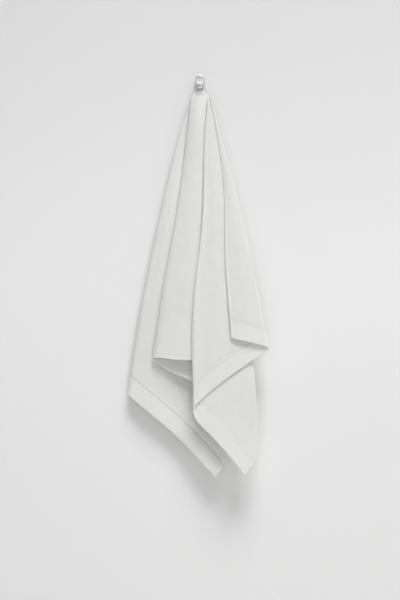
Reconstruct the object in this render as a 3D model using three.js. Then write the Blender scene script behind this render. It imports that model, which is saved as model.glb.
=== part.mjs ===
// Bath towel hung by the loop at the middle of one long side, from a round peg on a wall.
// Millimetres. X is to the right, Y goes into the wall, Z is up. The origin is the middle of
// the peg's back face, on the wall. "Out" is the distance in front of the wall, so Y = -out.
import * as THREE from 'three';

// The towel as it is cut and hemmed, laid flat
const LONG_SIDE = 1400;
const SHORT_SIDE = 700;
const CLOTH_THICK = 2.6;
const GATHER_THICK = 1.1;
const GATHER_REACH = 320;
const HEM_EXTRA = 0.5;
const PRESSED = 0.6;
const BORDER_WIDTH = 41;
const LONG_HEM_WIDTH = 10;

// The straight stretch of the top edge between the two ends of the loop
const LOOP_SPREAD = 38;
const SHOULDER_DROP = 16;
const SHOULDER_WIDTH = 3;
const SHOULDER_TURN = 20;
const TOP_Z = -25;
const TOP_OUT = 32;
const LAYER_STEP = 3.2;
const MOST_LEAN = 0.33;
const LEAN_REACH = 9;
const BEND_REACH = 3.5;
const BEND_SHARE = 0.42;
const LEAST_DROP = 0.3;

// The peg and the loop of tape over it
const NECK_RADIUS = 10;
const HEAD_RADIUS = 11.8;
const HEAD_LENGTH = 7;
const BASE_LENGTH = 6;
const PEG_LENGTH = 48;
const EDGE_ROUND = 1.2;
const EDGE_CUT = 0.36;
const TAPE_WIDTH = 10;
const TAPE_THICK = 1.6;
const SEAT_GAP = 0.35;

// Angles are in degrees on the flat cloth, round the middle of the top edge, from the right
// half of that edge. The stretch between the loop's ends counts as STRIP_TURN degrees.
const STRIP_TURN = 3;
const HALF_LENGTH = LONG_SIDE / 2 - LOOP_SPREAD / 2;
const CORNER_TURN = THREE.MathUtils.radToDeg(Math.atan2(SHORT_SIDE, HALF_LENGTH));
const WHOLE_TURN = 180 + STRIP_TURN;

// One row for each edge or fold, from the near right edge to the near left edge.
// turn:   where it is on the flat cloth
// round:  half the width of the bend, on the same scale
// slack:  how long its line hangs, as a part of its flat length
// high, mid, low, hem: how far it is to the right of the peg, at STATIONS of its line
// before, after: how far out from the wall the cloth is on its two sides, at OUT_REACH
// layer:  the layer that follows it, counted forward from the one under the loop
const STATIONS = [0, 0.15, 0.4, 0.7, 1];
const OUT_REACH = 700;
const FOLDS = [
  { name: 'right edge', turn: 0, round: 0, slack: 0.921, high: 40, mid: 60, low: 64, hem: 78, before: 90, after: 90, layer: 5 },
  { name: 'right flap', turn: 11, round: 1.5, slack: 0.965, high: 48, mid: 91, low: 137, hem: 177, before: 88, after: 82, layer: 4 },
  { name: 'front fold', turn: 33.2, round: 3, slack: 1.003, high: 10, mid: 0, low: -30, hem: -31, before: 81, after: 71.5, layer: 3 },
  { name: 'right corner', turn: CORNER_TURN, round: 0, slack: 0.996, high: 38, mid: 75, low: 104, hem: 111, before: 75, after: 75, layer: 3 },
  { name: 'right corner fold', turn: 48.6, round: 1.1, slack: 0.99, high: 43, mid: 86, low: 133, hem: 154, before: 73.5, after: 67.5, layer: 2 },
  { name: 'inner left fold', turn: 60, round: 1, slack: 0.98, high: 20, mid: 26, low: 34, hem: 42, before: 68.5, after: 62.5, layer: 1 },
  { name: 'inner right fold', turn: 71, round: 1, slack: 0.98, high: 33, mid: 60, low: 82, hem: 100, before: 58.5, after: 52.5, layer: 0 },
  { name: 'strip, right', turn: 90, round: 0, slack: 0.975, high: 13, mid: 3, low: -8, hem: -18, before: 63, after: 63, layer: 0 },
  { name: 'strip, left', turn: 93, round: 0, slack: 0.975, high: -25, mid: -35, low: -46, hem: -56, before: 64, after: 64, layer: 0 },
  { name: 'tube fold', turn: 104, round: 8.5, slack: 0.961, high: -38, mid: -70, low: -122, hem: -166, before: 60, after: 37, layer: -1 },
  { name: 'middle right fold', turn: 123.6, round: 0.9, slack: 0.975, high: 14, mid: 34, low: 54, hem: 72, before: 51, after: 46, layer: -2 },
  { name: 'small pleat', turn: 129, round: 0.8, slack: 0.985, high: -2, mid: 2, low: 6, hem: 8, before: 42, after: 37.5, layer: -3 },
  { name: 'corner roll', turn: 135.6, round: 0.8, slack: 1.003, high: 11, mid: 29, low: 46, hem: 61, before: 40, after: 34.5, layer: -4 },
  { name: 'left corner', turn: WHOLE_TURN - CORNER_TURN, round: 0, slack: 1.003, high: 5, mid: 17, low: 29, hem: 38, before: 30, after: 30, layer: -4 },
  { name: 'left fold', turn: 153.4, round: 1.2, slack: 1.002, high: -55, mid: -102, low: -152, hem: -191, before: 24.5, after: 17.5, layer: -5 },
  { name: 'back fold', turn: 170, round: 0.9, slack: 0.985, high: -10, mid: 8, low: 22, hem: 34, before: 12.5, after: 7, layer: -6 },
  { name: 'left edge', turn: WHOLE_TURN, round: 0, slack: 0.95, high: -26, mid: -50, low: -78, hem: -104, before: 6.5, after: 6.5, layer: -6 },
];

// Steps of the mesh: across each bend, between bends, and down the cloth, where the plain
// steps are closer together at the top and stay clear of the border's and the hem's rows
const BEND_STEPS = [-1, -0.6, -0.28, 0, 0.28, 0.6, 1];
const COLUMN_TURN = 3;
const MOST_COLUMNS = 4;
const DOWN_STEPS = 20;
const TOP_CROWDING = 1.25;
const PLAIN_SHARE = 0.985;
const CLEAR_SHARE = 0.02;
const TURNED_SIDES = 48;
const ARC_STEPS = 20;

const CHROME = new THREE.MeshStandardMaterial({ color: 0xd2d4d6, metalness: 1, roughness: 0.12 });
const COTTON = new THREE.MeshStandardMaterial({ color: 0xf1f1ee, metalness: 0, roughness: 0.95 });
const TAPE = new THREE.MeshStandardMaterial({ color: 0xf6f6f4, metalness: 0, roughness: 0.85 });

const lerp = THREE.MathUtils.lerp;
const smooth = (x) => THREE.MathUtils.smoothstep(x, 0, 1);

// Half the width of a row's bend in degrees, at a distance down the cloth: where the folds are
// packed it takes what the cloth needs to turn back, or what the folds beside it leave
function bendWidth(row, far) {
  const { turn, round } = FOLDS[row];
  if (round === 0) return 0;
  const room = BEND_SHARE * Math.min(turn - FOLDS[row - 1].turn, FOLDS[row + 1].turn - turn);
  return Math.max(round, Math.min(THREE.MathUtils.radToDeg(BEND_REACH / far), room));
}

// Turn of a mesh column at a distance down the cloth. A column either has a place across a
// row's bend, `step` from -1 to 1, or a place on the flat after it, `part` from 0 to 1
const besideBend = (row, step, far) => FOLDS[row].turn + step * bendWidth(row, far);
function columnTurn({ row, step, part }, far) {
  if (part === undefined) return besideBend(row, step, far);
  return lerp(besideBend(row, 1, far), besideBend(row + 1, -1, far), part);
}

// A quantity of the cloth on a column: on a flat it is what `straight` gives for the turn,
// and across a bend `across` joins the values at the bend's two sides
function onColumn(column, far, straight, across) {
  const { row, step, part } = column;
  if (part !== undefined) return straight(row, columnTurn(column, far));
  const from = straight(Math.max(row - 1, 0), besideBend(row, -1, far));
  const to = straight(Math.min(row, FOLDS.length - 2), besideBend(row, 1, far));
  return across(from, to, (step + 1) / 2, FOLDS[row]);
}

// Part of the way from one row to the next
const partBetween = (row, turn) => (turn - FOLDS[row].turn) / (FOLDS[row + 1].turn - FOLDS[row].turn);

// One column of the table: a parabola across each bend, so that it is round
function blended(column, far, key) {
  const straight = (row, turn) => lerp(FOLDS[row][key], FOLDS[row + 1][key], partBetween(row, turn));
  const across = (from, to, part, fold) =>
    (1 - part) ** 2 * from + 2 * part * (1 - part) * fold[key] + part ** 2 * to;
  return onColumn(column, far, straight, across);
}

// How far the cloth leans, at a row, from its own layer toward the one it folds into
const leanAt = (row, far) =>
  row > 0 && FOLDS[row].layer !== FOLDS[row - 1].layer ? Math.min(MOST_LEAN, LEAN_REACH / far) : 0;

// How far out the cloth is: packed in layers under the loop, opening to its place at OUT_REACH
function outOf(column, far) {
  const straight = (row, turn) => {
    const part = partBetween(row, turn);
    const layer = FOLDS[row].layer + lerp(leanAt(row, far), -leanAt(row + 1, far), part);
    const low = lerp(FOLDS[row].after, FOLDS[row + 1].before, part);
    return lerp(TOP_OUT + LAYER_STEP * layer, low, far / OUT_REACH);
  };
  const across = (from, to, part) => lerp(from, to, smooth(part));
  return onColumn(column, far, straight, across);
}

// Smooth curve through the values at the STATIONS
function alongStations(values, t) {
  let i = STATIONS.findIndex((s) => s >= t) - 1;
  i = Math.min(Math.max(i, 0), STATIONS.length - 2);
  const slopeAt = (k) => {
    const a = Math.max(k - 1, 0);
    const b = Math.min(k + 1, STATIONS.length - 1);
    return (values[b] - values[a]) / (STATIONS[b] - STATIONS[a]);
  };
  const h = STATIONS[i + 1] - STATIONS[i];
  const f = (t - STATIONS[i]) / h;
  const f2 = f * f;
  const f3 = f2 * f;
  return (
    (2 * f3 - 3 * f2 + 1) * values[i] +
    (f3 - 2 * f2 + f) * h * slopeAt(i) +
    (3 * f2 - 2 * f3) * values[i + 1] +
    (f3 - f2) * h * slopeAt(i + 1)
  );
}

// A turn's line on the flat cloth: where it starts, its direction and its length
function flatLine(turn) {
  if (turn >= 90 && turn <= 90 + STRIP_TURN) {
    const u = LOOP_SPREAD * (0.5 - (turn - 90) / STRIP_TURN);
    return { u, du: 0, dv: 1, length: SHORT_SIDE };
  }
  const right = turn < 90;
  const angle = THREE.MathUtils.degToRad(right ? turn : turn - STRIP_TURN);
  const du = Math.cos(angle);
  const dv = Math.sin(angle);
  const length = Math.min(HALF_LENGTH / Math.abs(du), SHORT_SIDE / dv);
  return { u: (right ? 1 : -1) * LOOP_SPREAD / 2, du, dv, length };
}

// The middle of the cloth's thickness down one column, from the top edge to the hem
function hangingLine(column, stepsDown) {
  const hemTurn = columnTurn(column, OUT_REACH);
  const { u: topX, length } = flatLine(hemTurn);
  const fromStrip = smooth(Math.max(90 - hemTurn, hemTurn - 90 - STRIP_TURN, 0) / SHOULDER_TURN);
  const start = SHOULDER_DROP * fromStrip;
  const points = [];
  let last = null;
  let z = TOP_Z - start;
  for (const t of stepsDown) {
    const far = lerp(start, length, t);
    const side = ['high', 'mid', 'low', 'hem'].map((key) => blended(column, far, key));
    const x = alongStations([topX + Math.sign(topX) * SHOULDER_WIDTH * fromStrip, ...side], far / length);
    const out = outOf(column, far);
    if (last) {
      const run = (far - last.far) * blended(column, far, 'slack');
      const drop = run ** 2 - (x - last.x) ** 2 - (out - last.out) ** 2;
      z -= Math.sqrt(Math.max(drop, (LEAST_DROP * run) ** 2));
    }
    last = { far, x, out };
    const flat = flatLine(columnTurn(column, far));
    points.push({ at: new THREE.Vector3(x, -out, z), u: flat.u + flat.du * far, v: flat.dv * far, far });
  }
  return points;
}

// Thickness of the cloth: thinner where it is gathered, thicker in the hems
function thickness(point) {
  const body = lerp(GATHER_THICK, CLOTH_THICK, smooth(point.far / GATHER_REACH));
  const fromShort = LONG_SIDE / 2 - Math.abs(point.u);
  const fromLong = SHORT_SIDE - point.v;
  return fromShort < BORDER_WIDTH || fromLong < LONG_HEM_WIDTH ? body + HEM_EXTRA : body;
}

// The cloth's face on one side at a point of its middle, from the points beside it and the
// line down it. On the inside of a bend the face is pressed as far as the bend needs
function facePoint(before, at, after, down, side, thick) {
  const [a, b] = [at.clone().sub(before), after.clone().sub(at)].map((v) => v.projectOnPlane(down));
  const shorter = Math.min(...[a, b].map((v) => v.length()).filter((length) => length > 0));
  a.normalize();
  b.normalize();
  const normal = a.clone().add(b).cross(down).normalize().multiplyScalar(side);
  const turning = b.lengthSq() * a.lengthSq() > 0 ? b.clone().sub(a).dot(normal) : 0;
  const room = turning > 0 ? (PRESSED * shorter) / turning : Infinity;
  return at.clone().addScaledVector(normal, Math.min(thick / 2, room));
}

// The mesh's columns: across every bend and on every flat, in order round the cloth
function meshColumns() {
  const columns = [];
  FOLDS.forEach(({ turn, round }, row) => {
    (round === 0 ? [0] : BEND_STEPS).forEach((step) => columns.push({ row, step }));
    if (row === FOLDS.length - 1) return;
    const width = FOLDS[row + 1].turn - FOLDS[row + 1].round - turn - round;
    const steps = Math.min(Math.round(width / COLUMN_TURN), MOST_COLUMNS);
    for (let k = 1; k < steps; k++) columns.push({ row, part: k / steps });
  });
  return columns;
}

// Rows of the mesh down the cloth: closer under the loop, with the borders' edges on rows
function rowSteps() {
  const steps = [];
  for (let j = 0; j < DOWN_STEPS; j++) steps.push((j / DOWN_STEPS) ** TOP_CROWDING * PLAIN_SHARE);
  const border = 1 - BORDER_WIDTH / HALF_LENGTH;
  const hem = 1 - LONG_HEM_WIDTH / SHORT_SIDE;
  const plain = steps.filter((s) => Math.abs(s - border) > CLEAR_SHARE && s < hem - CLEAR_SHARE / 2);
  return [...plain, border, hem, 1].sort((a, b) => a - b);
}

// The towel: the grid of points given its thickness, closed round its edge
function towelGeometry() {
  const steps = rowSteps();
  const lines = meshColumns().map((column) => hangingLine(column, steps));
  const columns = lines.length;
  const rows = steps.length;
  const at = (i, j) => lines[Math.min(Math.max(i, 0), columns - 1)][Math.min(Math.max(j, 0), rows - 1)].at;
  const positions = [];
  for (const side of [1, -1]) {
    for (let i = 0; i < columns; i++) {
      for (let j = 0; j < rows; j++) {
        const down = at(i, j + 1).clone().sub(at(i, j - 1)).normalize();
        const p = facePoint(at(i - 1, j), at(i, j), at(i + 1, j), down, side, thickness(lines[i][j]));
        positions.push(p.x, p.y, p.z);
      }
    }
  }
  const index = [];
  const quad = (a, b, c, d) => index.push(a, b, c, a, c, d);
  const front = (i, j) => i * rows + j;
  const back = (i, j) => (columns + i) * rows + j;
  for (let i = 0; i < columns - 1; i++) {
    for (let j = 0; j < rows - 1; j++) {
      quad(front(i, j), front(i + 1, j), front(i + 1, j + 1), front(i, j + 1));
      quad(back(i, j), back(i, j + 1), back(i + 1, j + 1), back(i + 1, j));
    }
    quad(front(i, 0), back(i, 0), back(i + 1, 0), front(i + 1, 0));
    quad(front(i, rows - 1), front(i + 1, rows - 1), back(i + 1, rows - 1), back(i, rows - 1));
  }
  for (let j = 0; j < rows - 1; j++) {
    quad(front(0, j), front(0, j + 1), back(0, j + 1), back(0, j));
    quad(front(columns - 1, j), back(columns - 1, j), back(columns - 1, j + 1), front(columns - 1, j + 1));
  }
  const geometry = new THREE.BufferGeometry();
  geometry.setAttribute('position', new THREE.Float32BufferAttribute(positions, 3));
  geometry.setIndex(index);
  geometry.computeVertexNormals();
  return geometry;
}

// Where a straight line up from a point touches a circle round the origin, as an angle from +X
const touchAngle = (x, z, radius) => Math.atan2(z, x) + Math.acos(radius / Math.hypot(x, z));

// The loop: a tape over the neck, down in two straight strands to the towel's top edge
function loopGeometry() {
  const endZ = TOP_Z + SEAT_GAP;
  const inner = { x: LOOP_SPREAD / 2 - TAPE_THICK, radius: NECK_RADIUS + SEAT_GAP };
  const outer = { x: LOOP_SPREAD / 2, radius: inner.radius + TAPE_THICK };
  const innerAngle = touchAngle(inner.x, endZ, inner.radius);
  const outerAngle = touchAngle(outer.x, endZ, outer.radius);
  const shape = new THREE.Shape();
  shape.moveTo(inner.x, endZ);
  shape.lineTo(outer.x, endZ);
  shape.absarc(0, 0, outer.radius, outerAngle, Math.PI - outerAngle, false);
  shape.lineTo(-outer.x, endZ);
  shape.lineTo(-inner.x, endZ);
  shape.absarc(0, 0, inner.radius, Math.PI - innerAngle, innerAngle, true);
  const geometry = new THREE.ExtrudeGeometry(shape, { depth: TAPE_WIDTH, bevelEnabled: false, curveSegments: ARC_STEPS });
  geometry.rotateX(Math.PI / 2);
  return geometry;
}

// A turned piece along the wall's normal, from one distance out to another
function turned(profile) {
  const geometry = new THREE.LatheGeometry(profile.map(([r, out]) => new THREE.Vector2(r, out)), TURNED_SIDES);
  geometry.rotateX(Math.PI);
  return geometry;
}

const pegProfile = [
  [0, BASE_LENGTH + SEAT_GAP],
  [NECK_RADIUS, BASE_LENGTH + SEAT_GAP],
  [NECK_RADIUS, PEG_LENGTH - HEAD_LENGTH],
  [HEAD_RADIUS - EDGE_CUT, PEG_LENGTH - HEAD_LENGTH],
  [HEAD_RADIUS, PEG_LENGTH - HEAD_LENGTH + EDGE_CUT],
  [HEAD_RADIUS, PEG_LENGTH - EDGE_ROUND],
  [HEAD_RADIUS - EDGE_CUT, PEG_LENGTH - EDGE_CUT],
  [HEAD_RADIUS - EDGE_ROUND, PEG_LENGTH],
  [0, PEG_LENGTH],
];
const baseProfile = [
  [0, 0],
  [HEAD_RADIUS, 0],
  [HEAD_RADIUS, BASE_LENGTH - EDGE_CUT],
  [HEAD_RADIUS - EDGE_CUT, BASE_LENGTH],
  [0, BASE_LENGTH],
];

const towel = new THREE.Mesh(towelGeometry(), COTTON);
towel.name = 'towel';

const loop = new THREE.Mesh(loopGeometry(), TAPE);
loop.name = 'hanging_loop';
loop.position.set(0, -TOP_OUT + TAPE_WIDTH / 2, 0);

const base = new THREE.Mesh(turned(baseProfile), CHROME);
base.name = 'hook_base';

const peg = new THREE.Mesh(turned(pegProfile), CHROME);
peg.name = 'hook_peg';

const group = new THREE.Group();
group.add(towel, loop, base, peg);

export default group;
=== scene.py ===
"""A white bath towel that hangs by its loop from a wall hook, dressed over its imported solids.

The cloth follows the same table of folds as its solid, in millimetres, with a finer mesh and
the soft forms, hems and stitched borders of the real one.
"""

import logging
import math
from dataclasses import dataclass, field
from enum import Enum

import bpy
import numpy as np
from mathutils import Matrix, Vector

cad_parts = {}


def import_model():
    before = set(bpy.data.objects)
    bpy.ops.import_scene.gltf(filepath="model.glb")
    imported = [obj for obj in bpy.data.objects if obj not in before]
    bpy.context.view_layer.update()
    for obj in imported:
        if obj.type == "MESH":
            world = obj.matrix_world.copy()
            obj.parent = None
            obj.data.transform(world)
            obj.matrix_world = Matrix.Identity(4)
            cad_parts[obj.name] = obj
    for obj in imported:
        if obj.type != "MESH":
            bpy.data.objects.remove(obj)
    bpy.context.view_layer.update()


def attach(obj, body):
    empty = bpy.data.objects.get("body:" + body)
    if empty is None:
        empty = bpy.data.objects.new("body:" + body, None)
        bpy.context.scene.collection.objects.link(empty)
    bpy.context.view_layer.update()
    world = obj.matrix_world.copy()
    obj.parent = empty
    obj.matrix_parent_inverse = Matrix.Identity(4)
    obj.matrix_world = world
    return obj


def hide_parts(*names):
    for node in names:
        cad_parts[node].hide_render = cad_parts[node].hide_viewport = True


LOG = logging.getLogger("bath_towel")
MM = 0.001
TINY = 1e-6
LEAST_LENGTH = 1e-9
LEAST_FAR = 1e-3
SHARP_DEGREES = 50.0
HEM_STEPS = (0, 0.5, 1.3, 5, 9, 9.9, 10.7, 11.6, 13, 16)
FLAT_MAP = "flat_cloth"


class Face(Enum):
    """The two faces of the cloth, as the sign of their normal."""

    ROOM = 1
    WALL = -1


class Zone(Enum):
    """The woven zones of the towel, as the outputs of the zone group."""

    HEM = "Hem"
    STITCH = "Stitch"
    STRIPE = "Stripe"


@dataclass(frozen=True)
class FoldRow:
    """One edge or fold of the hanging cloth, with the same numbers as in the solid.

    Lengths are in millimetres and turns in degrees on the flat cloth. `round` is half the bend's
    width and `slack` scales the length down the cloth. `sides` are the distances to the right at
    the four lower stations. `before` and `after` are the distances out from the wall, low on the
    two sides of the fold, and `layer` is its order from the wall under the loop.
    """

    name: str
    turn: float
    round: float
    slack: float
    sides: tuple[float, float, float, float]
    before: float
    after: float
    layer: int


@dataclass(frozen=True)
class SoftForm:
    """A soft ridge or trough that runs down the cloth.

    Its height is in millimetres, toward the room, and grows from `begin` to `full`, which are
    shares of the way down. Its turn and width are in degrees on the flat cloth.
    """

    name: str
    turn: float
    width: float
    height: float
    begin: float
    full: float


@dataclass(frozen=True)
class Column:
    """One line of the mesh down the cloth: across a bend, on a flat, or in an edge's hem.

    `step` is its place across the bend at `row`, from -1 to 1, `part` its place on the flat after
    it, from 0 to 1, and `hem` its distance in from the edge, in millimetres.
    """

    row: int
    step: float = 0.0
    part: float | None = None
    hem: float | None = None


@dataclass(frozen=True)
class TowelCut:
    """The towel as it is cut and hemmed, laid flat, in millimetres.

    The stitched line beside a border is a groove, with painted shade in the colour. `right_stitch` and
    `long_stitch` are the shares of the groove and of its painted shade that show at the right end and in
    the long hems, and `long_hem_share` is the share of `hem_extra` that the long hems have.
    """

    long_side: float = 1400.0
    short_side: float = 700.0
    loop_spread: float = 38.0
    thick: float = 2.5
    gather_thick: float = 1.05
    gather_reach: float = 320.0
    border: float = 41.0
    stripe_end: float = 52.0
    long_hem: float = 10.0
    hem_extra: float = 0.5
    long_hem_share: float = 0.5
    hem_fade: float = 0.6
    groove: float = 0.9
    groove_width: float = 2.0
    groove_half: float = 0.5
    groove_fade: float = 0.8
    long_groove_half: float = 0.3
    long_groove_fade: float = 0.7
    thread_half: float = 0.8
    thread_fade: float = 0.7
    right_stitch: float = 0.4
    long_stitch: float = 0.25
    long_thread_half: float = 0.4
    long_thread_fade: float = 0.6
    stripe_depth: float = 0.45
    stripe_fade: float = 1.2
    edge_round: float = 1.3
    least_edge: float = 0.06

    @property
    def half_length(self) -> float:
        """Length of the cloth from a loop end to a short edge."""
        return (self.long_side - self.loop_spread) / 2

    @property
    def corner_turn(self) -> float:
        """Turn of the lower right corner."""
        return math.degrees(math.atan2(self.short_side, self.half_length))


def smooth(x: np.ndarray | float) -> np.ndarray | float:
    """Smooth step from 0 to 1."""
    t = np.clip(x, 0.0, 1.0)
    return t * t * (3.0 - 2.0 * t)


def lerp(a: np.ndarray | float, b: np.ndarray | float, t: np.ndarray | float) -> np.ndarray | float:
    """Straight line from a to b."""
    return a + (b - a) * t


def unit(v: np.ndarray) -> np.ndarray:
    """Vectors of length 1, or 0 where they had none."""
    length = np.linalg.norm(v, axis=-1, keepdims=True)
    return np.where(length > LEAST_LENGTH, v / np.maximum(length, LEAST_LENGTH), 0.0)


def deselect_all() -> None:
    """Leaves nothing selected and nothing in edit mode."""
    if bpy.context.object and bpy.context.object.mode != "OBJECT":
        bpy.ops.object.mode_set(mode="OBJECT")
    bpy.ops.object.select_all(action="DESELECT")


def select_only(piece: bpy.types.Object) -> None:
    """Leaves one object selected and active."""
    deselect_all()
    piece.select_set(True)
    bpy.context.view_layer.objects.active = piece


def apply_place(piece: bpy.types.Object) -> None:
    """Moves an object's place, turn and scale into its mesh, so that it ends at the origin."""
    select_only(piece)
    bpy.ops.object.transform_apply(location=True, rotation=True, scale=True)


def face_outward() -> None:
    """Turns the faces of the active object outward."""
    bpy.ops.object.mode_set(mode="EDIT")
    bpy.ops.mesh.select_all(action="SELECT")
    bpy.ops.mesh.normals_make_consistent(inside=False)
    bpy.ops.object.mode_set(mode="OBJECT")


def mesh_piece(
    name: str, points: np.ndarray, faces: list[list[int]], flat: np.ndarray
) -> bpy.types.Object:
    """Makes a smooth shaded object from points in metres.

    Args:
        name: The piece's name.
        points: One row for each point.
        faces: The point numbers of each face.
        flat: Each point's place on the flat cloth, in metres, for the UV map.

    Returns:
        The new object, at the origin, active and selected.
    """
    mesh = bpy.data.meshes.new(name)
    mesh.from_pydata(points.tolist(), [], faces)
    mesh.update()
    layer = mesh.uv_layers.new(name=FLAT_MAP)
    corners = np.empty(len(mesh.loops), np.int32)
    mesh.loops.foreach_get("vertex_index", corners)
    layer.data.foreach_set("uv", flat[corners].astype(np.float32).ravel())
    piece = bpy.data.objects.new(name, mesh)
    bpy.context.scene.collection.objects.link(piece)
    select_only(piece)
    bpy.ops.object.shade_smooth_by_angle(angle=math.radians(SHARP_DEGREES))
    return piece


class NodeBench:
    """Adds nodes to one shader tree and links them."""

    def __init__(self, tree: bpy.types.NodeTree) -> None:
        """Starts on a tree, with nothing added."""
        self.tree = tree

    def add(self, kind: str, inputs: dict | None = None, **settings: object) -> bpy.types.Node:
        """Adds a node.

        Args:
            kind: Blender's name for the node's type.
            inputs: Values or sockets for its inputs, by name or number.
            **settings: The node's own settings.

        Returns:
            The node.
        """
        node = self.tree.nodes.new(kind)
        for key, value in settings.items():
            setattr(node, key, value)
        self.feed(node, inputs or {})
        return node

    def feed(self, node: bpy.types.Node, inputs: dict) -> None:
        """Links or sets a node's inputs, by name or number."""
        for key, value in inputs.items():
            if isinstance(value, bpy.types.NodeSocket):
                self.tree.links.new(value, node.inputs[key])
            else:
                node.inputs[key].default_value = value

    def math(self, operation: str, *values: object) -> bpy.types.NodeSocket:
        """Adds a Math node and returns its result."""
        return self.add("ShaderNodeMath", dict(enumerate(values)), operation=operation).outputs[0]

    def ramp(
        self, value: object, start: float, end: float, low: float, high: float
    ) -> bpy.types.NodeSocket:
        """Adds a smooth map from one range to another and returns its result."""
        inputs = {0: value, 1: start, 2: end, 3: low, 4: high}
        return self.add("ShaderNodeMapRange", inputs, interpolation_type="SMOOTHSTEP").outputs[0]

    def band(self, value: object, middle: float, half: float, soft: float) -> bpy.types.NodeSocket:
        """Adds a mask that is 1 within `half` of a value, and fades over `soft`."""
        away = self.math("ABSOLUTE", self.math("SUBTRACT", value, middle))
        return self.ramp(away, half, half + soft, 1.0, 0.0)

    def mix(self, amount: object, a: object, b: object) -> bpy.types.NodeSocket:
        """Adds a colour mix and returns its result."""
        return self.add("ShaderNodeMix", {0: amount, 6: a, 7: b}, data_type="RGBA").outputs[2]


def node_group(
    name: str, inputs: dict[str, str], outputs: dict[str, str]
) -> tuple[bpy.types.NodeTree, NodeBench]:
    """Makes an empty shader group.

    Args:
        name: The group's name.
        inputs: Socket types of its inputs, by name.
        outputs: Socket types of its outputs, by name.

    Returns:
        The group and a bench to fill it with.
    """
    group = bpy.data.node_groups.new(name, "ShaderNodeTree")
    for socket, kind in inputs.items():
        group.interface.new_socket(socket, in_out="INPUT", socket_type=kind)
    for socket, kind in outputs.items():
        group.interface.new_socket(socket, in_out="OUTPUT", socket_type=kind)
    return group, NodeBench(group)


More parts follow.
